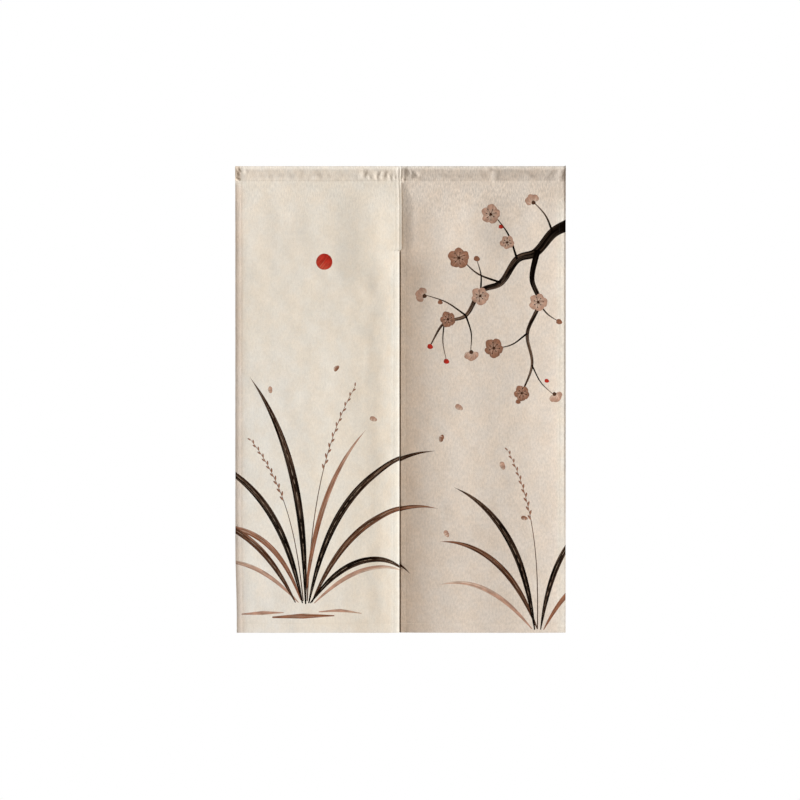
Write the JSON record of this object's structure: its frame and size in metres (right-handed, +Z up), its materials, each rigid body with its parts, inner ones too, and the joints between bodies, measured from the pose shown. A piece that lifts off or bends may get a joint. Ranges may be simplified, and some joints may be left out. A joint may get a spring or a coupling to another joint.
{
  "type": "noren curtain",
  "caption": "Split noren door curtain: hemmed cloth panels sewn together at the top, with an open rod pocket along the top edge, hanging in soft folds.",
  "frame": {"origin": "middle of the top edge, on the line where a rod carries the curtain", "axes": "+X to the right as seen from the front, +Y from the front to the back, +Z up; the curtain hangs below the origin"},
  "size_m": [0.85, 0.0379, 1.2],
  "materials": {
    "cloth": "plain-woven beige cotton-linen cloth, matt, with an ink-coloured print"
  },
  "bodies": {
    "root": {"rod_pocket_left": "cloth", "rod_pocket_right": "cloth", "panel_left": "cloth", "panel_right": "cloth"}
  },
  "joints": []
}
